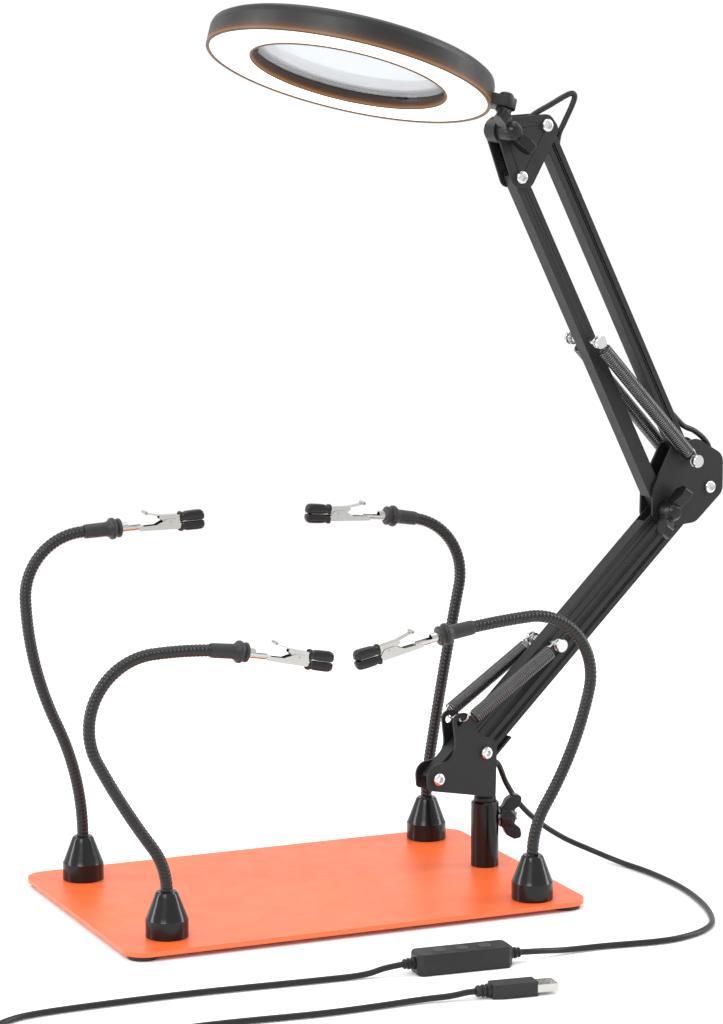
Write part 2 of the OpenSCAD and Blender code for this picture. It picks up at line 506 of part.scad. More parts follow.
module clip_body(n) color([0.72, 0.72, 0.7]) clip_frame(n) {
  // crimp barrel gripped in the sleeve, an open trough in front of it
  difference() {
    rotate([0, 90, 0]) translate([0, 0, -2.9]) cylinder(d = 6, h = 17, $fn = 40);
    rotate([0, 90, 0]) translate([0, 0, -3]) cylinder(d = 4.8, h = 20, $fn = 40);
    translate([4.5, 0.3, -5]) cube([20, 6, 10]);
  }
  // the two sides of the fixed jaw, its floor and its nose
  for (z = [-3.1, 2.5]) translate([0, 0, z]) linear_extrude(0.6) clip_side();
  translate([0, 0, -3.1]) linear_extrude(6.2) polygon([[13.5, -3.2], [20, -3.5], [36, -4.2], [37, -4.2],
    [37, -3.6], [20, -2.85], [13.5, -2.5]]);
  translate([0, 0, -2.2]) linear_extrude(4.4) polygon([[36, -4.15], [52, -4.7], [53, -3.4], [52, -1.1],
    [38, -1.4], [38, -2.1], [51, -1.8], [51, -3.9], [36, -3.5]]);
  // rivet and torsion spring
  translate([pin_at[0], pin_at[1], -3.6]) cylinder(d = 1.8, h = 7.2, $fn = 32);
  for (z = [-1.5, -0.5, 0.5, 1.5]) translate([pin_at[0], pin_at[1], z*0.75]) rotate_extrude($fn = 40)
    translate([1.6, 0]) circle(d = 0.7, $fn = 16);
}
module clip_lever(n) color([0.72, 0.72, 0.7]) clip_frame(n) translate([pin_at[0], pin_at[1], 0])
  rotate([0, 0, jaw_open]) difference() {
    union() {
      for (z = [-2.4, 1.8]) translate([0, 0, z]) linear_extrude(0.6) polygon(rounded([[-8, 3, 0.8],
        [-1.6, -1.7, 1.5], [3, -1.6, 1], [6.5, -0.6, 0.6], [19, -0.7, 0.4], [20, 0.6, 0.5], [19, 2.9, 0.8],
        [6, 4.1, 1.5], [-7, 4.9, 0.7]], 5));
      translate([0, 0, -2.4]) linear_extrude(4.8) polygon([[19, 2.3], [19, 2.9], [6, 4.1], [-7, 4.9],
        [-15.6, 6.9], [-15.8, 6.3], [-7.1, 4.3], [6, 3.5]]);
      translate([-16.6, 7.2, -3]) cylinder(d = 2.4, h = 6, $fn = 24);
    }
    translate([0, 0, -5]) cylinder(d = 1.8 + 2*running_gap, h = 10, $fn = 32);
    translate([-16.6, 7.2, -5]) cylinder(d = 1.2, h = 10, $fn = 24);
  }
module boot(v) difference() {
  translate([0, 0, -3.4]) linear_extrude(6.8) polygon(rounded(v, 6));
  children();
}
module fixed_boot(n) color([0.04, 0.04, 0.04]) clip_frame(n)
  boot([[38.6, -6.2, 2], [54.4, -6.4, 2.6], [55.2, -0.4, 2.2], [41.4, -0.4, 1]])
    translate([30, -4.85, -2.3]) cube([23.3, 3.95, 4.6]);
module lever_boot(n) color([0.04, 0.04, 0.04]) clip_frame(n) translate([pin_at[0], pin_at[1], 0]) rotate([0, 0, jaw_open])
  boot([[7, -0.8, 1], [22.2, -0.8, 2.2], [21.4, 5.2, 2.6], [5.6, 5.9, 2]])
    translate([0, -0.75, -2.45]) cube([20.1, 4.9, 4.9]);

module fl_base() magnet_base(neck_fl);
module fl_neck() flex_neck(neck_fl);
module fl_sleeve() neck_sleeve(neck_fl);
module fl_clip() clip_body(neck_fl);
module fl_boot() fixed_boot(neck_fl);
module fl_lever() clip_lever(neck_fl);
module fl_lever_boot() lever_boot(neck_fl);
module rl_base() magnet_base(neck_rl);
module rl_neck() flex_neck(neck_rl);
module rl_sleeve() neck_sleeve(neck_rl);
module rl_clip() clip_body(neck_rl);
module rl_boot() fixed_boot(neck_rl);
module rl_lever() clip_lever(neck_rl);
module rl_lever_boot() lever_boot(neck_rl);
module rr_base() magnet_base(neck_rr);
module rr_neck() flex_neck(neck_rr);
module rr_sleeve() neck_sleeve(neck_rr);
module rr_clip() clip_body(neck_rr);
module rr_boot() fixed_boot(neck_rr);
module rr_lever() clip_lever(neck_rr);
module rr_lever_boot() lever_boot(neck_rr);
module fr_base() magnet_base(neck_fr);
module fr_neck() flex_neck(neck_fr);
module fr_sleeve() neck_sleeve(neck_fr);
module fr_clip() clip_body(neck_fr);
module fr_boot() fixed_boot(neck_fr);
module fr_lever() clip_lever(neck_fr);
module fr_lever_boot() lever_boot(neck_fr);

// ---------- cable, controller and plug ----------
cable_r = cable_diameter/2;
module at_controller() translate([controller_at[0], controller_at[1], 0]) rotate([0, 0, controller_at[2]]) children();
module at_plug() translate([plug_at[0], plug_at[1], 0]) rotate([0, 0, plug_at[2]]) children();
function turned(p, at) = [at[0] + p[0]*cos(at[2]) - p[1]*sin(at[2]), at[1] + p[0]*sin(at[2]) + p[1]*cos(at[2]), p[2]];
module relief() rotate([0, 90, 0]) rotate_extrude($fn = 32) polygon([[0, 0], [3.6, 0], [3.6, 1.6], [2.6, 1.8],
  [2.6, 2.6], [3.4, 2.8], [3.4, 4.2], [2.4, 4.4], [2.4, 5.2], [3.1, 5.4], [2.8, 6.8], [0, 6.8]]);
module usb_cable() color([0.05, 0.05, 0.05]) {
  cr = turned([controller[0]/2 + 6.4, 0, 6.3], controller_at);
  cl = turned([-controller[0]/2 - 6.4, 0, 6.3], controller_at);
  pl = turned([-8.55, 0, 4.2], plug_at);
  lie = cable_r + 0.15;
  sweep(smooth([[127.6, 3.1, 71.6], [132.3, 4, 72.4], [137.8, 6.7, 69], [145.6, 11.4, 55.2], [157.2, 15.4, 39.7],
    [171, 16, 26.5], [188.4, 14.4, 14.5], [205.4, 6, 6.1], [215.6, -14, lie + 0.2], [221, -44, lie],
    [221.8, -84, lie], [215, -124, lie], [203, -156, lie], [190, -171.5, lie],
    [172, -181, lie], [151.5, -184, lie], [118, -180.2, lie], [92, -180.6, 2.6],
    [74, -184.6, 5], cr], 3), cable_r, 8, [0, 0, 1]);
  sweep(smooth([cl, [-24, -180.4, 5], [-38, -179, lie + 0.3], [-66, -177.6, lie],
    [-131, -173, lie], [-181, -172.2, lie], [-229, -174.3, lie], [-250, -180.5, lie],
    [-262.5, -192, lie], [-267, -207, lie], [-261.5, -221, lie], [-247, -230.5, lie],
    [-222, -233.4, lie], [-152, -232, lie], [-90, -237, lie], [-56, -237, lie],
    [-27, -236.4, lie + 0.3], [-10, -238.6, 2.9], turned([-14, 0, 4], plug_at), pl], 3), cable_r, 8, [0, 0, 1]);
  at_controller() { translate([controller[0]/2, 0, 6.3]) relief();
    translate([-controller[0]/2, 0, 6.3]) rotate([0, 0, 180]) relief(); }
}
module controller_case() color([0.07, 0.07, 0.07]) at_controller() difference() {
  translate([0, controller[1]/2, 0]) rotate([90, 0, 0]) linear_extrude(controller[1]) polygon(rounded([
    [-controller[0]/2, 0, 1.6], [controller[0]/2, 0, 3], [controller[0]/2, controller[2], 1.6],
    [-controller[0]/2, controller[2], 1.6]], 6));
  for (y = [-1, 1], x = [-1, 1]) translate([x*controller[0]/2, y*controller[1]/2, -1]) rotate([0, 0, 45])
    cube([4.2, 4.2, 40], center = true);
  for (x = [-14, 0, 14]) translate([x, 0, controller[2] - 1.2]) cylinder(d = 8.4, h = 5, $fn = 40);
}
module controller_buttons() color([0.12, 0.12, 0.13]) at_controller() for (x = [-14, 0, 14])
  translate([x, 0, controller[2] - 1.2]) rotate_extrude($fn = 40) polygon([[0, 0], [4, 0], [4, 1.3], [3.5, 1.8], [0, 2]]);
module usb_moulding() color([0.06, 0.06, 0.06]) at_plug() {
  w = plug_moulding[1]; l = plug_moulding[0]; h = plug_moulding[2];
  difference() {
    translate([0, 0, 0.2]) linear_extrude(h) polygon(rounded([[0, -w/2 + 1.6, 1.5], [7, -w/2, 4], [l, -w/2, 1.4],
      [l, w/2, 1.4], [7, w/2, 4], [0, w/2 - 1.6, 1.5]], 5));
    for (y = [-1, 1]) translate([l/2, y*w/2, h + 0.2]) rotate([45, 0, 0]) cube([l + 2, 1.5, 1.5], center = true);
    translate([l - 3, -6.05, 4.2 - 2.3]) cube([10, 12.1, 4.6]);
  }
  translate([-8.4, 0, 4.2]) rotate([0, 90, 0]) rotate_extrude($fn = 32) polygon([[0, 0], [2.8, 0], [3.4, 1.2],
    [3.4, 2.2], [2.7, 2.5], [2.7, 3.3], [3.6, 3.6], [3.6, 4.9], [2.9, 5.2], [2.9, 6], [3.9, 6.3], [3.9, 8.4], [0, 8.4]]);
}
module usb_shell() color([0.78, 0.78, 0.76]) at_plug() translate([plug_moulding[0] - 3, 0, 4.2]) {
  difference() {
    translate([0, -6, -2.25]) cube([15, 12, 4.5]);
    translate([1, -5.7, -1.95]) cube([20, 11.4, 3.9]);
    for (y = [-3, 3]) translate([9.4, y - 1.2, 0]) cube([2.6, 2.4, 5]);
  }
  color([0.05, 0.05, 0.05]) translate([1.2, -5.6, -1.9]) cube([12.6, 11.2, 1.7]);
}

base_plate();
rubber_feet();
arm_socket();
usb_cable();
controller_case();
controller_buttons();
usb_moulding();
usb_shell();
thumb_knob();
thumb_stud();
base_bracket();
base_stem();
base_bolts();
lower_main_bar();
lower_spring_post();
lower_link_bar();
lower_springs();
elbow_plates();
elbow_pins();
elbow_knob();
upper_main_bar();
upper_spring_post();
upper_link_bar();
upper_springs();
lamp_cable();
head_plates();
head_bolts();
head_knob();
lamp_neck();
lamp_housing();
lamp_diffuser();
lamp_lens();
fl_base();
fl_neck();
fl_sleeve();
fl_clip();
fl_boot();
fl_lever();
fl_lever_boot();
rl_base();
rl_neck();
rl_sleeve();
rl_clip();
rl_boot();
rl_lever();
rl_lever_boot();
rr_base();
rr_neck();
rr_sleeve();
rr_clip();
rr_boot();
rr_lever();
rr_lever_boot();
fr_base();
fr_neck();
fr_sleeve();
fr_clip();
fr_boot();
fr_lever();
fr_lever_boot();
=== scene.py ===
import json
import math

import bpy
import bmesh
import numpy as np
from mathutils import Matrix, Vector

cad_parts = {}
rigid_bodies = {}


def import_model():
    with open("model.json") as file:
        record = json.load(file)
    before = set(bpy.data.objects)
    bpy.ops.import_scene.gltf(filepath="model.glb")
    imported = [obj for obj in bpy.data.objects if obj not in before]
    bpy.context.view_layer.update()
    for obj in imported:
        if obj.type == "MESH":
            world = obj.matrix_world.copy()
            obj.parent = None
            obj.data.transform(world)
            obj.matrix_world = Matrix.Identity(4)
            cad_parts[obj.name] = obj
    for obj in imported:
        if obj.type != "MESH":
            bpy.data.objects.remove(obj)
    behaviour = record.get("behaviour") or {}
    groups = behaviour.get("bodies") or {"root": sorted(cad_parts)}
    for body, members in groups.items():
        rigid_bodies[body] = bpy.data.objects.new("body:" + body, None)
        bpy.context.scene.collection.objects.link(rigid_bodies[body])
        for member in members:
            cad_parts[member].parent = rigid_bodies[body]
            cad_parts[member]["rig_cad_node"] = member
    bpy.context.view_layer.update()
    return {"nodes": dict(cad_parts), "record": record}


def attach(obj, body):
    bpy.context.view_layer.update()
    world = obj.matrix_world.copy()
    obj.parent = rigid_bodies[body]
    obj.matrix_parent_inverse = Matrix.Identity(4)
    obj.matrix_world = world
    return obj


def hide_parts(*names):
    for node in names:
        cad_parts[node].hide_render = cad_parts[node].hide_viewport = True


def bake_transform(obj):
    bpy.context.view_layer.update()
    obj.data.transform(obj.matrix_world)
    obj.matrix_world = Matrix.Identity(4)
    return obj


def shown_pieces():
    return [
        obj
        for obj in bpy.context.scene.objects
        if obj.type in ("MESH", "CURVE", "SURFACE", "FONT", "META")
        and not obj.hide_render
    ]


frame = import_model()
nodes, record = frame["nodes"], frame["record"]
MM = 0.001

# ------------------------------------------------------------ numbers of the frame (mm)
SX, SY, HEADING = 126.4, 2.9, 10.6
DECK = 6.0


def cd(a):
    return math.cos(math.radians(a))


def sd(a):
    return math.sin(math.radians(a))


EU = np.array([cd(HEADING), sd(HEADING), 0.0])
EW = np.array([sd(HEADING), -cd(HEADING), 0.0])
EZ = np.array([0.0, 0.0, 1.0])


def WV(v):
    return v[0] * EU + v[1] * EZ + v[2] * EW


def on_arm(M=None):
    m = np.eye(4)
    m[:3, 0], m[:3, 1], m[:3, 2], m[:3, 3] = EU, EZ, EW, (SX, SY, 0)
    return m if M is None else m @ M


LA, UA, LL, UL = 40.8, 118.2, 236.1, 248.5
DL, DU = np.array([cd(LA), sd(LA)]), np.array([cd(UA), sd(UA)])
P2 = np.array([-4.4, 80.7])
P1 = P2 - 38.7 * np.array([cd(18.6), sd(18.6)])
Q = P1 + LL * DL
P3 = P2 + LL * DL
STEP = 36.9 * np.array([cd(58.4), sd(58.4)])
S = Q + STEP
CT = Q + UL * DU
DT = CT + STEP
T1 = P1 + 117.5 * DL
T2 = Q + 129 * DU
EAR = np.array([-24.5, 102.7])
LP = np.array([7.9, 470.7])
LEAN, ROLL, PAN = 19.6, 6.4, -38.1
LAX = np.array([sd(LEAN) * cd(ROLL), cd(LEAN) * cd(ROLL), -sd(ROLL)])
LX = np.array([cd(LEAN), -sd(LEAN), 0.0])
LY = np.array([-sd(ROLL) * sd(LEAN), -sd(ROLL) * cd(LEAN), -cd(ROLL)])
MP = np.array([LP[0], LP[1], 0]) + 14 * LAX
REACH = 98.2
LM = MP - REACH * (cd(PAN) * LX + sd(PAN) * LY)

NECKS = {
    "fl": ("front_left", [-116.4, -71.1, 180, 28.6, 35.8, 63.6, -7.9, 84.5, -114.7, 59.4, -13.6]),
    "rl": ("rear_left", [-118.5, 72.9, 180, 74.7, 25, 82.8, -23, 60.7, -89.7, 25.1, 0]),
    "rr": ("rear_right", [121.3, 81.1, 0, 25.4, 9.3, 115.2, 2.2, 60.6, -89.2, 23.2, -6.9]),
    "fr": ("front_right", [118.6, -81.3, 0, 33, 32.5, 74.7, -19.7, 73.8, -105.8, 61.7, -8]),
}


# ------------------------------------------------------------ materials
def links(nt):
    return nt.nodes, nt.links


def material(name, base, rough, metal=0.0, spec=0.5, noise=900.0, vary=0.12, rvary=0.12, bump=0.0,
             bump_scale=2500.0, coat=0.0, coat_rough=0.1, sheen=0.0, stretch=(1, 1, 1)):
    m = bpy.data.materials.new(name)
    m.use_nodes = True
    n, l = links(m.node_tree)
    n.clear()
    out = n.new("ShaderNodeOutputMaterial")
    b = n.new("ShaderNodeBsdfPrincipled")
    tc = n.new("ShaderNodeTexCoord")
    mp = n.new("ShaderNodeMapping")
    mp.inputs["Scale"].default_value = stretch
    l.new(tc.outputs["Object"], mp.inputs["Vector"])
    t1 = n.new("ShaderNodeTexNoise")
    t1.inputs["Scale"].default_value = noise * 0.06
    t1.inputs["Detail"].default_value = 5
    l.new(mp.outputs["Vector"], t1.inputs["Vector"])
    t2 = n.new("ShaderNodeTexNoise")
    t2.inputs["Scale"].default_value = noise
    t2.inputs["Detail"].default_value = 3
    l.new(mp.outputs["Vector"], t2.inputs["Vector"])
    ramp = n.new("ShaderNodeMix")
    ramp.data_type = "RGBA"
    dark = [c * (1 - vary) for c in base[:3]] + [1]
    light = [min(1, c * (1 + vary)) for c in base[:3]] + [1]
    ramp.inputs["A"].default_value, ramp.inputs["B"].default_value = dark, light
    mixn = n.new("ShaderNodeMath")
    mixn.operation = "MULTIPLY_ADD"
    mixn.inputs[1].default_value = 0.5
    l.new(t1.outputs["Fac"], mixn.inputs[0])
    half = n.new("ShaderNodeMath")
    half.operation = "MULTIPLY"
    half.inputs[1].default_value = 0.5
    l.new(t2.outputs["Fac"], half.inputs[0])
    l.new(half.outputs[0], mixn.inputs[2])
    l.new(mixn.outputs[0], ramp.inputs["Factor"])
    l.new(ramp.outputs["Result"], b.inputs["Base Color"])
    rr = n.new("ShaderNodeMapRange")
    rr.inputs["To Min"].default_value = max(0.02, rough - rvary)
    rr.inputs["To Max"].default_value = min(1.0, rough + rvary)
    l.new(t1.outputs["Fac"], rr.inputs["Value"])
    l.new(rr.outputs["Result"], b.inputs["Roughness"])
    b.inputs["Metallic"].default_value = metal
    b.inputs["Specular IOR Level"].default_value = spec
    b.inputs["Coat Weight"].default_value = coat
    b.inputs["Coat Roughness"].default_value = coat_rough
    b.inputs["Sheen Weight"].default_value = sheen
    if bump:
        t3 = n.new("ShaderNodeTexNoise")
        t3.inputs["Scale"].default_value = bump_scale
        t3.inputs["Detail"].default_value = 2
        l.new(mp.outputs["Vector"], t3.inputs["Vector"])
        bp = n.new("ShaderNodeBump")
        bp.inputs["Strength"].default_value = bump
        bp.inputs["Distance"].default_value = 0.00012
        l.new(t3.outputs["Fac"], bp.inputs["Height"])
        l.new(bp.outputs["Normal"], b.inputs["Normal"])
    l.new(b.outputs["BSDF"], out.inputs["Surface"])
    return m


MAT = {
    "powder_coat": material("orange_powder_coat", (0.80, 0.122, 0.027), 0.37, spec=0.6, noise=1200, vary=0.05, bump=0.35, bump_scale=2600),
    "rubber": material("black_rubber", (0.012, 0.012, 0.013), 0.5, spec=0.4, bump=0.15, bump_scale=1800, sheen=0.1),
    "black_steel": material("satin_black_steel", (0.0105, 0.0105, 0.011), 0.43, spec=0.3, noise=1500, vary=0.2, bump=0.5, bump_scale=2200),
    "black_gloss": material("gloss_black", (0.0045, 0.0045, 0.005), 0.2, spec=0.3, noise=500, vary=0.2, rvary=0.05, coat=0.04, coat_rough=0.1),
    "black_plastic": material("black_moulded_plastic", (0.011, 0.011, 0.0115), 0.42, spec=0.36, noise=1400, vary=0.2, bump=0.4, bump_scale=3000),
    "knob_plastic": material("black_knob_plastic", (0.0065, 0.0065, 0.007), 0.28, spec=0.3, noise=900, vary=0.2, bump=0.15, bump_scale=1500),
    "zinc": material("bright_zinc", (0.66, 0.66, 0.67), 0.2, metal=1.0, noise=800, vary=0.1, rvary=0.1, bump=0.1),
    "spring_steel": material("dark_spring_wire", (0.115, 0.115, 0.118), 0.24, metal=1.0, noise=900, vary=0.25, rvary=0.08),
    "nickel": material("nickel_plate", (0.50, 0.49, 0.465), 0.2, metal=1.0, noise=700, vary=0.14, rvary=0.12, bump=0.12),
    "hose": material("black_oxide_hose", (0.008, 0.008, 0.0085), 0.27, metal=0.0, spec=0.36, noise=700, vary=0.3, rvary=0.1, coat=0.05, coat_rough=0.2),
    "cable": material("black_cable", (0.009, 0.009, 0.0095), 0.36, spec=0.3, noise=500, vary=0.25, bump=0.08),
    "button": material("soft_grey_button", (0.035, 0.035, 0.038), 0.5, spec=0.4, noise=900, vary=0.15, bump=0.1),
    "silicone": material("black_silicone", (0.0055, 0.0055, 0.006), 0.24, spec=0.34, noise=800, vary=0.25, rvary=0.06, bump=0.08, coat=0.06, coat_rough=0.2),
}


def glass():
    """Coated lens seen at a flat angle: mostly a painted reflection of the lit ring (a pale bluish diffuse base
    colour), partly clear.
    """
    m = bpy.data.materials.new("lens_glass_painted_reflection")
    m.use_nodes = True
    n, l = links(m.node_tree)
    n.clear()
    out = n.new("ShaderNodeOutputMaterial")
    g = n.new("ShaderNodeBsdfPrincipled")
    # painted reflection: pale bluish diffuse colour standing in for the lit ring reflected in the lens
    g.inputs["Base Color"].default_value = (0.66, 0.71, 0.735, 1)
    g.inputs["IOR"].default_value = 1.5
    g.inputs["Specular IOR Level"].default_value = 0.6
    clear = n.new("ShaderNodeBsdfTransparent")
    clear.inputs["Color"].default_value = (0.93, 0.97, 1.0, 1)
    t = n.new("ShaderNodeTexNoise")
    t.inputs["Scale"].default_value = 40
    r = n.new("ShaderNodeMapRange")
    r.inputs["To Min"].default_value, r.inputs["To Max"].default_value = 0.02, 0.06
    tc = n.new("ShaderNodeTexCoord")
    l.new(tc.outputs["Object"], t.inputs["Vector"])
    l.new(t.outputs["Fac"], r.inputs["Value"])
    l.new(r.outputs["Result"], g.inputs["Roughness"])
    mix = n.new("ShaderNodeMixShader")
    mix.inputs[0].default_value = 0.6
    l.new(clear.outputs["BSDF"], mix.inputs[1])
    l.new(g.outputs["BSDF"], mix.inputs[2])
    l.new(mix.outputs[0], out.inputs["Surface"])
    return m


def glowing():
    """Frosted diffuser lit from behind: white, and warmer where it meets the black rims."""
    m = bpy.data.materials.new("lit_diffuser")
    m.use_nodes = True
    n, l = links(m.node_tree)
    n.clear()
    out = n.new("ShaderNodeOutputMaterial")
    b = n.new("ShaderNodeBsdfPrincipled")
    at = n.new("ShaderNodeAttribute")
    at.attribute_name = "rim"
    ramp = n.new("ShaderNodeValToRGB")
    e = ramp.color_ramp.elements
    e[0].position, e[0].color = 0.0, (1.0, 0.99, 0.965, 1)
    e[1].position, e[1].color = 1.0, (0.42, 0.17, 0.035, 1)
    for p, c in ((0.45, (1.0, 0.985, 0.94, 1)), (0.72, (1.0, 0.93, 0.76, 1)), (0.88, (0.9, 0.58, 0.24, 1))):
        x = e.new(p)
        x.color = c
    l.new(at.outputs["Fac"], ramp.inputs["Fac"])
    t = n.new("ShaderNodeTexNoise")
    t.inputs["Scale"].default_value = 60
    tc = n.new("ShaderNodeTexCoord")
    l.new(tc.outputs["Object"], t.inputs["Vector"])
    r = n.new("ShaderNodeMapRange")
    r.inputs["To Min"].default_value, r.inputs["To Max"].default_value = 1.25, 1.4
    l.new(t.outputs["Fac"], r.inputs["Value"])
    l.new(ramp.outputs["Color"], b.inputs["Emission Color"])
    l.new(r.outputs["Result"], b.inputs["Emission Strength"])
    b.inputs["Base Color"].default_value = (0.8, 0.79, 0.76, 1)
    b.inputs["Roughness"].default_value = 0.5
    l.new(b.outputs["BSDF"], out.inputs["Surface"])
    return m


def add_painted_lamp_glow(m):
    """Black housing with a painted warm glow next to the lit face: emission that stands in for the lamp's light
    bleeding onto it.
    """
    n, l = links(m.node_tree)
    b = next(x for x in n if x.type == "BSDF_PRINCIPLED")
    at = n.new("ShaderNodeAttribute")
    at.attribute_name = "off_face"
    a = n.new("ShaderNodeMath")
    a.operation = "MULTIPLY"
    a.inputs[1].default_value = -1 / 3.4
    e = n.new("ShaderNodeMath")
    e.operation = "EXPONENT"
    l.new(at.outputs["Fac"], a.inputs[0])
    l.new(a.outputs[0], e.inputs[0])
    # painted glow colours: warm orange-brown emission on the housing, fading to black away from the lit face
    ramp = n.new("ShaderNodeValToRGB")
    c = ramp.color_ramp.elements
    c[0].position, c[0].color = 0.0, (0, 0, 0, 1)
    c[1].position, c[1].color = 1.0, (0.07, 0.034, 0.014, 1)
    for p, v in ((0.15, (0.012, 0.004, 0.0008, 1)), (0.45, (0.10, 0.036, 0.007, 1)), (0.78, (0.44, 0.18, 0.045, 1)), (0.90, (0.12, 0.055, 0.02, 1))):
        x = c.new(p)
        x.color = v
    l.new(e.outputs[0], ramp.inputs["Fac"])
    l.new(ramp.outputs["Color"], b.inputs["Emission Color"])
    b.inputs["Emission Strength"].default_value = 0.85
    return m


MAT["lens"] = glass()
MAT["lamp_black"] = add_painted_lamp_glow(material("lamp_housing_black_painted_glow", (0.011, 0.011, 0.0115), 0.42, spec=0.36, noise=1400, vary=0.2, bump=0.4, bump_scale=3000))
MAT["diffuser"] = glowing()


# ------------------------------------------------------------ mesh helpers (all in mm)
def piece(name, verts, faces, body, mat, replaces=(), smooth=True, mats=None, matrix=None, parent=True):
    v = np.asarray(verts, float).reshape(-1, 3)
    if matrix is not None:
        v = v @ np.asarray(matrix)[:3, :3].T + np.asarray(matrix)[:3, 3]
    me = bpy.data.meshes.new(name)
    me.from_pydata((v * MM).tolist(), [], [list(map(int, f)) for f in faces])
    me.validate()
    me.polygons.foreach_set("use_smooth", [smooth] * len(me.polygons))
    for m in (mat if isinstance(mat, (list, tuple)) else [mat]):
        me.materials.append(MAT[m] if isinstance(m, str) else m)
    if mats is not None:
        me.polygons.foreach_set("material_index", list(mats))
    me.update()
    o = bpy.data.objects.new(name, me)
    bpy.context.scene.collection.objects.link(o)
    if parent:
        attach(o, body)
    if replaces:
        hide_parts(*replaces)
    return o


def unit(v):
    return v / max(np.linalg.norm(v), 1e-12)


def frames(P):
    T = np.gradient(P, axis=0)
    T /= np.linalg.norm(T, axis=1)[:, None]
    a = np.array([0, 0, 1.0]) if abs(T[0][2]) < 0.9 else np.array([0, 1.0, 0])
    n = unit(a - (a @ T[0]) * T[0])
    N = []
    for t in T:
        n = unit(n - (n @ t) * t)
        N.append(n)
    N = np.array(N)
    return T, N, np.cross(T, N)


def tube(P, r, sides=12, helix=None):
    """Closed sweep along P. r is a number, one value per point, or helix(s, angle)."""
    P = np.asarray(P, float)
    T, N, B = frames(P)
    s = np.concatenate([[0], np.cumsum(np.linalg.norm(np.diff(P, axis=0), axis=1))])
    a = np.linspace(0, 2 * np.pi, sides, endpoint=False)
    if helix is not None:
        R = helix(s[:, None], a[None, :])
    else:
        R = np.broadcast_to(np.asarray(r, float).reshape(-1, 1), (len(P), sides))
    V = P[:, None, :] + R[..., None] * (np.cos(a)[None, :, None] * N[:, None, :] + np.sin(a)[None, :, None] * B[:, None, :])
    V = V.reshape(-1, 3)
    k = len(P)
    i = np.arange(k - 1)[:, None] * sides
    j = np.arange(sides)[None, :]
    jn = (j + 1) % sides
    F = np.stack([i + j, i + jn, i + sides + jn, i + sides + j], -1).reshape(-1, 4)
    F = F.tolist()
    F.append(list(range(sides))[::-1])
    F.append([len(V) - sides + q for q in range(sides)])
    return V, F


def join(*parts):
    V, F, M, off = [], [], [], 0
    for idx, (v, f) in enumerate(parts):
        V.append(np.asarray(v, float))
        F += [[q + off for q in g] for g in f]
        M += [idx] * len(f)
        off += len(v)
    return np.vstack(V), F, M


def lathe(profile, segs=96, closed=True):
    """Profile of (r, z) pairs turned about Z. closed joins the last point to the first."""
    pr = np.asarray(profile, float)
    a = np.linspace(0, 2 * np.pi, segs, endpoint=False)
    V = np.stack([pr[:, 0][:, None] * np.cos(a), pr[:, 0][:, None] * np.sin(a), np.repeat(pr[:, 1][:, None], segs, 1)], -1).reshape(-1, 3)
    n = len(pr)
    F = []
    for i in range(n if closed else n - 1):
        k = (i + 1) % n
        for j in range(segs):
            jn = (j + 1) % segs
            F.append([i * segs + j, i * segs + jn, k * segs + jn, k * segs + j])
    return V, F


def soften(pts, r, n=5, closed=True):
    """Rounds the corners of a polyline; r is a radius or one for each point."""
    pts = [np.asarray(p, float)[:2] for p in pts]
    out = []
    m = len(pts)
    for i, p in enumerate(pts):
        rad = r[i] if hasattr(r, "__len__") else r
        if (not closed and i in (0, m - 1)) or rad <= 0:
            out.append(p)
            continue
        a, b = pts[i - 1], pts[(i + 1) % m]
        u, v = unit(a - p), unit(b - p)
        half = math.acos(max(-1, min(1, u @ v))) / 2
        if half > math.pi / 2 - 0.03:
            out.append(p)
            continue
        t = min(rad / math.tan(half), 0.48 * np.linalg.norm(a - p), 0.48 * np.linalg.norm(b - p))
        q0, q1 = p + u * t, p + v * t
        for k in range(n + 1):
            w = k / n
            out.append((1 - w) ** 2 * q0 + 2 * w * (1 - w) * p + w * w * q1)
    return out


def catmull(C, n):
    C = [np.asarray(c, float) for c in C]
    out = []
    for i in range(len(C) - 1):
        a, b, c, d = C[max(i - 1, 0)], C[i], C[i + 1], C[min(i + 2, len(C) - 1)]
        for k in range(n):
            t = k / n
            out.append(0.5 * (2 * b + (c - a) * t + (2 * a - 5 * b + 4 * c - d) * t * t + (3 * b - a - 3 * c + d) * t ** 3))
    out.append(C[-1])
    return np.array(out)


def mat4(x, y, z, o):
    m = np.eye(4)
    m[:3, 0], m[:3, 1], m[:3, 2], m[:3, 3] = x, y, z, o
    return m


# ------------------------------------------------------------ CAD nodes that keep their shape
def clear_normals(o):
    bpy.context.view_layer.objects.active = o
    try:
        bpy.ops.mesh.customdata_custom_splitnormals_clear()
    except RuntimeError:
        pass
    o.data.polygons.foreach_set("use_smooth", [True] * len(o.data.polygons))


def finish_node(name, mat, width=0.3, seg=2, angle=32):
    o = nodes[name]
    o.data.materials.clear()
    o.data.materials.append(MAT[mat])
    clear_normals(o)
    w = o.modifiers.new("weld", "WELD")
    w.merge_threshold = 2e-6
    if width:
        b = o.modifiers.new("edges", "BEVEL")
        b.width, b.segments, b.limit_method = width * MM, seg, "ANGLE"
        b.angle_limit = math.radians(angle)
        b.harden_normals = True
        b.use_clamp_overlap = True
    g = o.modifiers.new("normals", "WEIGHTED_NORMAL")
    g.keep_sharp = True
    return o


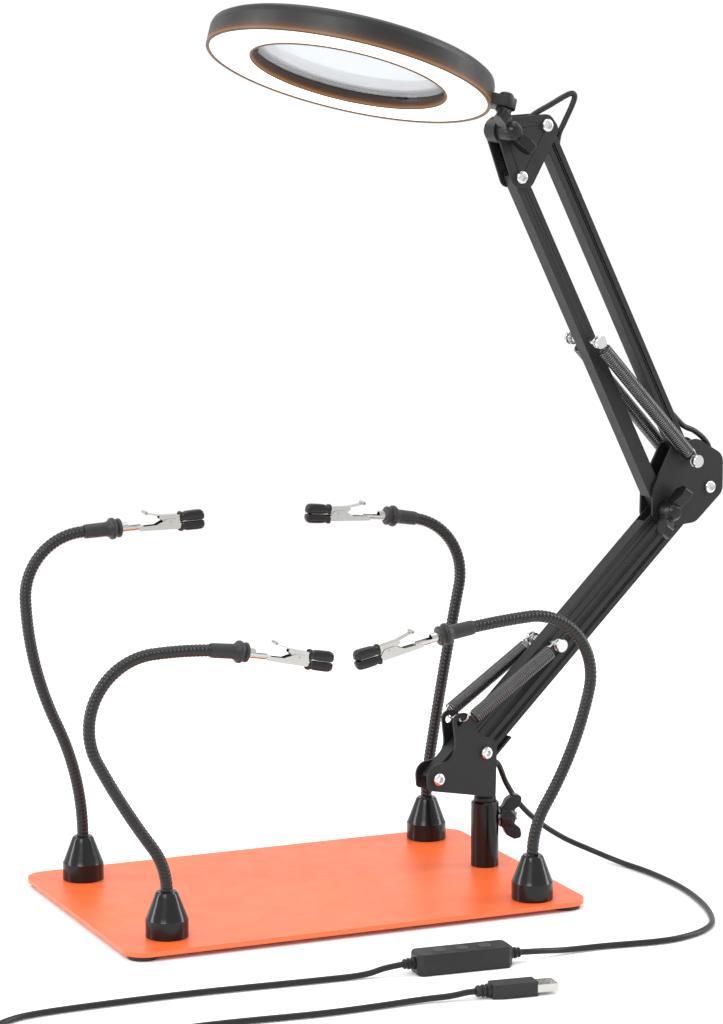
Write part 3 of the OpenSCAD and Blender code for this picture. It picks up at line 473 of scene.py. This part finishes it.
finish_node("base_plate", "powder_coat", 0.55, 3)
finish_node("rubber_feet", "rubber", 0.4)
finish_node("arm_socket", "black_gloss", 0.3)
finish_node("thumb_stud", "zinc", 0.3)
finish_node("base_bracket", "black_steel", 0.3)
finish_node("base_stem", "black_steel", 0.4)
finish_node("base_bolts", "zinc", 0.12)
finish_node("lower_main_bar", "black_steel", 0.9, 3)
finish_node("lower_link_bar", "black_steel", 0.9, 3)
finish_node("lower_spring_post", "zinc", 0.15)
finish_node("elbow_plates", "black_steel", 0.35)
finish_node("elbow_pins", "zinc", 0.12)
finish_node("upper_main_bar", "black_steel", 0.9, 3)
finish_node("upper_link_bar", "black_steel", 0.9, 3)
finish_node("upper_spring_post", "zinc", 0.15)
finish_node("head_plates", "black_steel", 0.35)
finish_node("head_bolts", "zinc", 0.12)
finish_node("lamp_neck", "black_steel", 0.3)
finish_node("controller_case", "black_plastic", 0.5, 3)
finish_node("controller_buttons", "button", 0.2)
finish_node("usb_moulding", "black_plastic", 0.35, 3)
finish_node("usb_shell", "nickel", 0.1)
for k in NECKS:
    finish_node(k + "_base", "black_gloss", 0.35, 3)
    finish_node(k + "_clip", "nickel", 0.08)
    finish_node(k + "_lever", "nickel", 0.08)


# ------------------------------------------------------------ springs
def coil(l, hooked, wire=1.24, od=9.2, pitch=1.45):
    r, h = (od - wire) / 2, 3.35
    x0, x1 = h + 4.2, l - h - 4.2
    turns = int((x1 - x0) / pitch)
    n = 22
    first = ([[4.7, 0, -9.2], [2.7, 0, -9.1], [1.5, 0, -8.1], [1.2, 0, -6.4], [1.6, 0, -4.8], [2.6, 0.3, -2.8], [3.8, 1.6, -1.4], [5, 2.9, -1]]
             if hooked else [[h * cd(400 - 310 * i / 24), h * sd(400 - 310 * i / 24), 0] for i in range(25)] + [[3.2, h + 0.1, -0.2]])
    first += [[x0 - 1, r * 0.97, -1.1]]
    first = catmull(first + [[x0, r, 0]], 3)[:-1]
    a = np.arange(turns * n + 1) / n
    mid = np.stack([x0 + (x1 - x0) * a / turns, r * np.cos(2 * np.pi * a), r * np.sin(2 * np.pi * a)], 1)
    last = [[x1, r, 0], [x1 + 1, r * 0.97, 1.1], [l - 3.2, h + 0.1, 0.2]] + [[l + h * cd(90 - 310 * i / 24), h * sd(90 - 310 * i / 24), 0] for i in range(25)]
    last = catmull(last, 3)[1:]
    P = np.vstack([first, mid, last])
    V, F = tube(P, wire / 2, 8)
    k = len(first) * 8
    m = len(V) - len(last) * 8
    idx = [1 if (min(f) < k - 8 or max(f) > m + 8) else 0 for f in F]
    return V, F, idx


def spring(name, a, b, side, hooked, node):
    l = float(np.linalg.norm(b - a))
    V, F, idx = coil(l, hooked)
    d = unit(np.append(b - a, 0))
    n = np.array([-d[1], d[0], 0])
    if side < 0:
        V = V * np.array([1, 1, -1])
        F = [f[::-1] for f in F]
    V = V @ np.array([d, n, [0, 0, 1.0]]) + np.array([a[0], a[1], side * 12.6])
    o = piece(name, V, F, None, ["spring_steel", "nickel"], mats=idx, matrix=on_arm(), parent=False)
    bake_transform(o)
    return o


s1 = spring("lower_spring_near", EAR, T1, 1, True, "lower_springs")
spring("lower_spring_far", EAR, T1, -1, True, "lower_springs")
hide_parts("lower_springs")
s2 = spring("upper_spring_near", T2, S, 1, False, "upper_springs")
spring("upper_spring_far", T2, S, -1, False, "upper_springs")
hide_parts("upper_springs")


# ------------------------------------------------------------ flexible necks, sleeves and boots
def neck_curve(n, step=0.3):
    pts, x, z, h = [[0.0, 25.0, 0.0]], 0.0, 33.5, 0.0
    pts.append([x, z, h])
    for i in (3, 5, 7, 9):
        l, a = n[i], n[i + 1]
        k = max(2, int(l / step))
        for _ in range(k):
            m = h + a / k / 2
            c = l / k
            if abs(a) > 0.01:
                c = 2 * l / math.radians(a) * math.sin(math.radians(a / k / 2))
            x, z, h = x + c * sd(m), z + c * cd(m), h + a / k
            pts.append([x, z, h])
    return np.array(pts)


def foot_matrix(n):
    return mat4([cd(n[2]), sd(n[2]), 0], [-sd(n[2]), cd(n[2]), 0], [0, 0, 1], [n[0], n[1], 0])


def hose_profile(s, a):
    p = np.mod(s / 2.5 + a / (2 * np.pi), 1.0)
    x = np.abs(2 * p - 1)
    return 3.28 + 0.44 * (1 - x ** 3.2)


def section(cx, cy, hy, hz, n, flat):
    """Superellipse ring; flat squares the side that faces the other jaw (+1 top, -1 bottom)."""
    a = np.linspace(0, 2 * np.pi, n, endpoint=False)
    c, s = np.cos(a), np.sin(a)
    e = 2 / 2.7
    z = hz * np.sign(c) * np.abs(c) ** e
    y = hy * np.sign(s) * np.abs(s) ** e
    y = np.where(y * flat > 0, np.sign(y) * np.minimum(np.abs(y) * 1.15, hy), y)
    return np.stack([np.full(n, cx), cy + y, z], 1)


def boot(x0, x1, y0, y1, flat, name, body, rep, M):
    """Silicone sleeve over a jaw: open thick lip at the back, a waist, a fuller rounded tip."""
    n = 36
    L = x1 - x0
    rings = []
    cy, hy, hz = (y0 + y1) / 2, (y1 - y0) / 2, 3.35
    prof = [(0.0, 0.80), (0.004, 0.93), (0.03, 1.0), (0.10, 1.0), (0.13, 0.93), (0.16, 0.86), (0.20, 0.86), (0.24, 0.93),
            (0.30, 0.965), (0.5, 0.985), (0.7, 1.0), (0.82, 0.99), (0.89, 0.94), (0.94, 0.83), (0.975, 0.64), (0.993, 0.4), (1.0, 0.12)]
    for t, k in prof:
        ky = k if flat == 0 else k
        shift = -flat * (hy - hy * ky) * -1 * (1 if t > 0.05 else 0)
        rings.append(section(x0 + t * L, cy + shift * 0.55, hy * ky, hz * (0.3 + 0.7 * k) if t > 0.9 else hz * k, n, flat))
    inner = section(x0 + 0.02 * L, cy, hy * 0.62, hz * 0.62, n, flat)
    deep = section(x0 + 0.16 * L, cy, hy * 0.58, hz * 0.6, n, flat)
    V = np.vstack([deep, inner] + rings)
    F = []
    for i in range(len(V) // n - 1):
        for j in range(n):
            jn = (j + 1) % n
            F.append([i * n + j, (i + 1) * n + j, (i + 1) * n + jn, i * n + jn])
    F.append([j for j in range(n)][::1])
    F.append([len(V) - n + j for j in range(n)][::-1])
    o = piece(name, V, F, body, "silicone", replaces=rep, matrix=M)
    sub = o.modifiers.new("soft", "SUBSURF")
    sub.levels = sub.render_levels = 1
    return o


for k, (full, n) in NECKS.items():
    F0 = foot_matrix(n)
    c = neck_curve(n)
    total = sum(n[i] for i in (3, 5, 7, 9))
    s = np.concatenate([[0], np.cumsum(np.linalg.norm(np.diff(c[:, :2], axis=0), axis=1))])
    end = s[-1]
    keep = s <= end - 3.0
    P = np.stack([c[:, 0], np.zeros(len(c)), c[:, 1]], 1)
    V, F = tube(P[keep], None, 22, helix=hose_profile)
    piece(k + "_hose", V, F, full + "_arm", "hose", replaces=[k + "_neck"], matrix=F0)
    # sleeve and collar, following the end of the neck
    sl = min(24.0, n[9] - 1)
    prof = soften([(sl, 3.75), (sl - 0.3, 4.2), (sl - 2.2, 4.45), (9.6, 4.55), (8.6, 4.9), (7.3, 5.5), (6.9, 6.45), (6.1, 6.8), (4.9, 6.8), (4.1, 6.4),
                   (3.8, 5.2), (2.9, 5.0), (2.5, 5.4), (2.2, 5.9), (1.2, 6.05), (0.4, 5.8), (0.02, 5.2), (0.0, 3.1)], 0.25, 3, closed=False)
    dist = np.array([p[0] for p in prof])
    rad = np.array([p[1] for p in prof])
    order = np.argsort(-dist, kind="stable")
    dist, rad = dist[order], rad[order]
    sx = np.interp(end - dist, s, c[:, 0])
    sz = np.interp(end - dist, s, c[:, 1])
    sh = np.interp(end - dist, s, c[:, 2])
    a = np.linspace(0, 2 * np.pi, 40, endpoint=False)
    V = []
    for x, z, h, r in zip(sx, sz, sh, rad):
        for t in a:
            V.append([x + r * math.cos(t) * cd(h), r * math.sin(t), z - r * math.cos(t) * sd(h)])
    V = np.array(V)
    F = []
    for i in range(len(sx) - 1):
        for j in range(40):
            jn = (j + 1) % 40
            F.append([i * 40 + j, i * 40 + jn, (i + 1) * 40 + jn, (i + 1) * 40 + j])
    piece(k + "_grip_sleeve", V, F, full + "_arm", "rubber", replaces=[k + "_sleeve"], matrix=F0)
    # clip frame: X along the clip, Y up, Z across
    x, z, h = c[-1]
    C = F0 @ mat4([sd(h), 0, cd(h)], [cd(h), 0, -sd(h)], [0, 1, 0], [x, 0, z])
    boot(38.6, 55.3, -6.4, -0.35, 1, k + "_lower_boot", full + "_arm", [k + "_boot"], C)
    boot(38.6, 55.3, -0.28, 6.3, -1, k + "_upper_boot", full + "_jaw", [k + "_lever_boot"], C)


# ------------------------------------------------------------ cables
def turned(p, at):
    return [at[0] + p[0] * cd(at[2]) - p[1] * sd(at[2]), at[1] + p[0] * sd(at[2]) + p[1] * cd(at[2]), p[2]]


CTRL, CTRL_AT, PLUG_AT, CR = (59, 16, 12.6), (23, -183.5, -3.5), (13.5, -241, -6), 1.8
cr = turned([CTRL[0] / 2 + 6.4, 0, 6.3], CTRL_AT)
cl = turned([-CTRL[0] / 2 - 6.4, 0, 6.3], CTRL_AT)
pl = turned([-8.2, 0, 4.2], PLUG_AT)
LIE = CR + 0.15
right = catmull([[127.6, 3.1, 71.6], [132.3, 4, 72.4], [137.8, 6.7, 69], [145.6, 11.4, 55.2], [157.2, 15.4, 39.7],
                 [171, 16, 26.5], [188.4, 14.4, 14.5], [205.4, 6, 6.1], [215.6, -14, LIE + 0.2], [221, -44, LIE],
                 [221.8, -84, LIE], [215, -124, LIE], [203, -156, LIE], [190, -171.5, LIE],
                 [172, -181, LIE], [151.5, -184, LIE], [118, -180.2, LIE], [92, -180.6, 2.6],
                 [74, -184.6, 5], cr], 12)
left = catmull([cl, [-24, -180.4, 5], [-38, -179, LIE + 0.3], [-66, -177.6, LIE],
                [-131, -173, LIE], [-181, -172.2, LIE], [-229, -174.3, LIE], [-250, -180.5, LIE],
                [-262.5, -192, LIE], [-267, -207, LIE], [-261.5, -221, LIE], [-247, -230.5, LIE],
                [-222, -233.4, LIE], [-152, -232, LIE], [-90, -237, LIE], [-56, -237, LIE],
                [-27, -236.4, LIE + 0.3], [-10, -238.6, 2.9], turned([-14, 0, 4], PLUG_AT), pl], 12)
relief = [(0, 0), (3.6, 0), (3.6, 1.5), (2.55, 1.8), (2.55, 2.5), (3.35, 2.8), (3.35, 4.1), (2.35, 4.4), (2.35, 5.1), (3.05, 5.4), (3.0, 6.2), (2.5, 6.8), (1.7, 6.9)]
relief = soften(relief, 0.3, 3, closed=False)
RV, RF = lathe(relief, 40, closed=False)
AX = np.array([[0, 0, 1.0], [0, 1.0, 0], [-1.0, 0, 0]])


def relief_at(x, flip):
    v = RV @ np.array([[0, 0, 1.0], [0, 1.0, 0], [1.0, 0, 0]])
    v = v * np.array([-1 if flip else 1, 1, 1]) + np.array([x, 0, 6.3])
    R = np.array([[cd(CTRL_AT[2]), -sd(CTRL_AT[2]), 0], [sd(CTRL_AT[2]), cd(CTRL_AT[2]), 0], [0, 0, 1]])
    return v @ R.T + np.array([CTRL_AT[0], CTRL_AT[1], 0])


V, F, mi = join(tube(right, CR, 16), tube(left, CR, 16), (relief_at(CTRL[0] / 2, False), RF), (relief_at(-CTRL[0] / 2, True), RF))
piece("power_cable", V, F, "base", "cable", replaces=["usb_cable"])

NX = np.array([DU[1], -DU[0]])
IT = DT - 22 * DU
pts = [[21, 460], [24.5, 468.5], [32, 478], [48, 485.6], [62, 491.6], [66.2, 490.3], [64, 484], [58, 473.6],
       IT + 9.4 * NX + 9 * DU, IT + 3.6 * NX, IT - 16 * DU, (IT + S) / 2, S + 58 * DU, S + 48 * DU + 0.4 * NX,
       S + 38 * DU + 3.2 * NX, [149, 283], [157.3, 275.6], [166.3, 271.6], [174.9, 265.4], [179.3, 258.4], [177, 248.4]]
P = np.array([[p[0], p[1], 0] for p in catmull(pts, 12)])
V, F = tube(P, CR, 16)
piece("arm_cable", V, F, "upper_link", "cable", replaces=["lamp_cable"], matrix=on_arm())


# ------------------------------------------------------------ wing knobs
def knob(name, node, body, M, length, bore, capped=False):
    """Moulded knob with two wings, remeshed so its fillets run into one another."""
    if capped:
        hub = [(0.01, 0)] + soften([(6.4, 0), (6.7, 0.5), (6.2, 7), (5.4, 10), (3.8, 11.9)], 0.5, 4, closed=False) + [(0.01, 12.3)]
    else:
        hub = soften([(bore / 2, 0), (6.4, 0), (6.7, 0.5), (6.1, 7), (5.0, 9.4), (bore / 2 + 0.9, 10.2), (bore / 2, 10.2)], 0.5, 4)
    hv, hf = lathe(hub, 56)
    L = length / 2
    out = soften([(-5, 1.0), (5, 1.0), (L - 3, 4.0), (L, 9), (L - 1, 14), (L - 7, 13.2), (4.4, 8.8), (-4.4, 8.8), (7 - L, 13.2), (1 - L, 14), (-L, 9), (3 - L, 4.0)],
                 [1, 1, 3, 2.6, 2.4, 3, 3, 3, 3, 2.4, 2.6, 3], 6)
    k = len(out)
    V, F = [], []
    levels = [(-3.5, 0.0), (3.5, 0.0)]
    for y, _ in levels:
        V += [[p[0], y, p[1]] for p in out]
    F += [[j, (j + 1) % k, k + (j + 1) % k, k + j] for j in range(k)]
    F += [list(range(k))[::-1], [k + j for j in range(k)]]
    wing = (np.array(V), F)
    v, f, _ = join((hv, hf), wing)
    o = piece(name, v, f, None, "knob_plastic", matrix=M, parent=False)
    bm = bmesh.new()
    bm.from_mesh(o.data)
    bmesh.ops.recalc_face_normals(bm, faces=bm.faces)
    bm.to_mesh(o.data)
    bm.free()
    r = o.modifiers.new("mould", "REMESH")
    r.mode, r.voxel_size = "VOXEL", 0.33 * MM
    sm = o.modifiers.new("round", "SMOOTH")
    sm.factor, sm.iterations = 0.5, 7
    dg = bpy.context.evaluated_depsgraph_get()
    me = bpy.data.meshes.new_from_object(o.evaluated_get(dg))
    o.modifiers.clear()
    o.data = me
    me.polygons.foreach_set("use_smooth", [True] * len(me.polygons))
    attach(o, body)
    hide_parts(node)
    return o


FACE = 10 / 2 + 0.35 + 1.5
tm = mat4([0, 0, -1], [-sd(-12), cd(-12), 0], [cd(-12), sd(-12), 0], [SX + (17.6 / 2 + 0.6) * cd(-12), SY + (17.6 / 2 + 0.6) * sd(-12), 37])
knob("thumb_wing", "thumb_knob", "thumb_screw", tm, 29, 5)


def arm_knob(p, ang):
    return on_arm(mat4([cd(ang), sd(ang), 0], [-sd(ang), cd(ang), 0], [0, 0, 1], [p[0], p[1], FACE + 0.3]))


knob("elbow_wing", "elbow_knob", "elbow_grip", arm_knob(Q, 57), 36, 6, capped=True)
knob("head_wing", "head_knob", "head_grip", arm_knob(LP, -45), 36, 6, capped=True)

# ------------------------------------------------------------ lamp
lm = on_arm(mat4(LX, LY, LAX, LM))
RO, RI, LH = 90.2, 60.6, 17.0
shell = soften([(RI + 0.9, -0.9), (RI + 1.9, -0.9), (RI + 1.9, 3.9), (RO - 2, 3.9), (RO - 2, -0.9), (RO - 0.3, -0.9), (RO, -0.4), (RO, LH - 5.5),
                (RO - 1.0, LH - 2.2), (RO - 4.6, LH), (RI - 1.9, LH), (RI - 2.4, LH - 0.5), (RI - 2.4, 8.4), (RI, 8.4), (RI, 6), (RI + 0.9, 4)],
               [0.3, 0.3, 0.3, 0.3, 0.3, 0.4, 0.4, 3, 2.2, 3, 0.5, 0.5, 0.3, 0.3, 0.3, 0.5], 6)
hv, hf = lathe(shell, 192)
tab = [(RO - 4, -8)] + [(REACH - 1, -7)] + [(REACH + 7 * cd(-90 + 180 * i / 24), 7 * sd(-90 + 180 * i / 24)) for i in range(25)] + [(REACH - 1, 7), (RO - 4, 8)]
tab = [(p[0] * cd(PAN) - p[1] * sd(PAN), p[0] * sd(PAN) + p[1] * cd(PAN)) for p in tab]
cen = np.mean(tab, axis=0)
TV, TF = [], []
lev = [(0.0, 0.55), (0.15, 0.2), (0.5, 0.0), (6.5, 0.0), (6.85, 0.2), (7.0, 0.55)]
kk = len(tab)
for z, inset in lev:
    for p in tab:
        d = unit(np.array(p) - cen) * inset
        TV.append([p[0] - d[0], p[1] - d[1], z])
for i in range(len(lev) - 1):
    for j in range(kk):
        jn = (j + 1) % kk
        TF.append([i * kk + j, i * kk + jn, (i + 1) * kk + jn, (i + 1) * kk + j])
TF += [list(range(kk))[::-1], [(len(lev) - 1) * kk + j for j in range(kk)]]
V, F, mi = join((hv, hf), (np.array(TV), TF))
o = piece("lamp_body", V, F, "lamp", "lamp_black", replaces=["lamp_housing"], matrix=lm)
# off_face: distance from the lit face, which sets how strong the painted glow on the housing is
at = o.data.attributes.new("off_face", "FLOAT", "POINT")
at.data.foreach_set("value", [max(0.0, v[2] + 0.9) if math.hypot(v[0], v[1]) < RO + 0.2 and i < len(hv) else 40.0 for i, v in enumerate(V)])
# the three clips that hold the lens
for i, ang in enumerate((20, 140, 260)):
    o = soften([(58.6, 5.2), (61.5, 5.2), (61.5, 6.3), (60.9, 6.35), (58.6, 6.0)], 0.15, 2)
    seg = 14
    V, F = [], []
    for j in range(seg + 1):
        t = ang - 4 + 8 * j / seg
        V += [[p[0] * cd(t), p[0] * sd(t), p[1]] for p in o]
    m = len(o)
    for j in range(seg):
        for q in range(m):
            qn = (q + 1) % m
            F.append([j * m + q, j * m + qn, (j + 1) * m + qn, (j + 1) * m + q])
    F += [list(range(m))[::-1], [seg * m + q for q in range(m)]]
    piece("lens_clip_%d" % (i + 1), V, F, "lamp", "black_plastic", matrix=lm)
# diffuser, with the distance from its rims kept for the glow
r0, r1 = 62.75, 88.0
rr = np.concatenate([np.linspace(r0, r0 + 3, 7), np.linspace(r0 + 4, r1 - 4, 8), np.linspace(r1 - 3, r1, 7)])
prof = [(r, -0.2) for r in rr] + [(r1, 1.8), (r0, 1.8)]
V, F = lathe(prof, 192)
o = piece("lit_ring", V, F, "lamp", "diffuser", replaces=["lamp_diffuser"], matrix=lm)
edge = []
for r, z in prof:
    d = min(r - r0, r1 - r)
    edge += [max(0.0, 1 - d / 5.5) if z < 0 else 1.0] * 192
at = o.data.attributes.new("rim", "FLOAT", "POINT")
at.data.foreach_set("value", edge)
# lens
R0, RC = 60.5, 330.0
up = [(R0 * i / 24, 7.4 + (R0 ** 2 - (R0 * i / 24) ** 2) / (2 * RC) + 0.95) for i in range(24, 0, -1)]
dn = [(R0 * i / 24, 7.4 - (R0 ** 2 - (R0 * i / 24) ** 2) / (2 * RC) - 0.95) for i in range(1, 25)]
segs = 128
V, F = lathe(up + [(0.4, up[-1][1] + 0.002), (0.4, dn[0][1] - 0.002)] + dn, segs, closed=True)
F = [f for f in F]
kU = len(up)
F = [f for i, f in enumerate(F) if not (kU * segs <= i < (kU + 1) * segs)]
F += [[(kU) * segs + j for j in range(segs)], [(kU + 1) * segs + j for j in range(segs)][::-1]]
o = piece("magnifier_lens", V, F, "lamp", "lens", replaces=["lamp_lens"], matrix=lm)


# normals all point outwards on the new closed pieces
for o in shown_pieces():
    if o.type == "MESH" and "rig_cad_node" not in o:
        bm = bmesh.new()
        bm.from_mesh(o.data)
        bmesh.ops.recalc_face_normals(bm, faces=bm.faces)
        bm.to_mesh(o.data)
        bm.free()

# sharp edges of the lathed pieces stay sharp
for nm, a in (("lamp_body", 40), ("lit_ring", 40), ("magnifier_lens", 30), ("power_cable", 50)):
    o = bpy.data.objects[nm]
    me = o.data
    bm = bmesh.new()
    bm.from_mesh(me)
    for e in bm.edges:
        e.smooth = not (len(e.link_faces) == 2 and e.calc_face_angle(0) > math.radians(a))
    bm.to_mesh(me)
    bm.free()


# ------------------------------------------------------------ floor, light and camera
def stage_material():
    """White floor that fades into the white backdrop away from the object."""
    m = bpy.data.materials.new("studio_floor")
    m.use_nodes = True
    n, l = links(m.node_tree)
    b = n["Principled BSDF"]
    b.inputs["Base Color"].default_value = (0.93, 0.93, 0.93, 1)
    b.inputs["Roughness"].default_value = 0.8
    b.inputs["Specular IOR Level"].default_value = 0.12
    g = n.new("ShaderNodeNewGeometry")
    d = n.new("ShaderNodeVectorMath")
    d.operation = "LENGTH"
    l.new(g.outputs["Position"], d.inputs[0])
    r = n.new("ShaderNodeMapRange")
    r.interpolation_type = "SMOOTHSTEP"
    r.inputs["From Min"].default_value, r.inputs["From Max"].default_value = 0.55, 1.5
    l.new(d.outputs["Value"], r.inputs["Value"])
    tr = n.new("ShaderNodeBsdfTransparent")
    mix = n.new("ShaderNodeMixShader")
    l.new(r.outputs["Result"], mix.inputs[0])
    l.new(b.outputs["BSDF"], mix.inputs[1])
    l.new(tr.outputs["BSDF"], mix.inputs[2])
    l.new(mix.outputs[0], n["Material Output"].inputs["Surface"])
    return m


me = bpy.data.meshes.new("studio_floor")
me.from_pydata([(-30, -30, -0.0002), (30, -30, -0.0002), (30, 30, -0.0002), (-30, 30, -0.0002)], [], [(0, 1, 2, 3)])
me.materials.append(stage_material())
floor = bpy.data.objects.new("studio_floor", me)
bpy.context.scene.collection.objects.link(floor)

scene = bpy.context.scene
world = bpy.data.worlds.new("studio")
world.use_nodes = True
bg = world.node_tree.nodes["Background"]
bg.inputs["Color"].default_value = (1, 1, 1, 1)
bg.inputs["Strength"].default_value = 1.02
scene.world = world


def area(name, loc, target, size, power, colour=(1, 1, 1)):
    l = bpy.data.lights.new(name, "AREA")
    l.shape, l.size, l.size_y, l.energy, l.color = "RECTANGLE", size[0], size[1], power, colour
    o = bpy.data.objects.new(name, l)
    scene.collection.objects.link(o)
    o.location = loc
    o.rotation_euler = (Vector(target) - Vector(loc)).to_track_quat("-Z", "Y").to_euler()
    return o


area("key", (-1.5, -1.6, 1.9), (0, 0, 0.2), (1.1, 1.1), 30)
area("rim_right", (1.9, -0.5, 1.1), (0.1, 0, 0.2), (0.5, 1.6), 22)
area("rim_left", (-1.7, 0.6, 0.9), (0, 0, 0.2), (0.4, 1.5), 18)
area("top", (0.1, 0.2, 2.3), (0.05, 0, 0), (1.4, 1.4), 14)

cam = bpy.data.cameras.new("photo_camera")
cam.lens, cam.sensor_width, cam.clip_start, cam.clip_end = 126.5625, 36, 0.05, 100
camera = bpy.data.objects.new("photo_camera", cam)
scene.collection.objects.link(camera)
camera.location = (-0.8334, -2.0045, 0.5915)
fwd = Vector((0.39427, 0.90511, -0.15914))
camera.rotation_euler = fwd.to_track_quat("-Z", "Y").to_euler()
scene.camera = camera
scene.view_settings.view_transform = "Standard"
scene.view_settings.look = "None"
scene.view_settings.exposure = 0.0
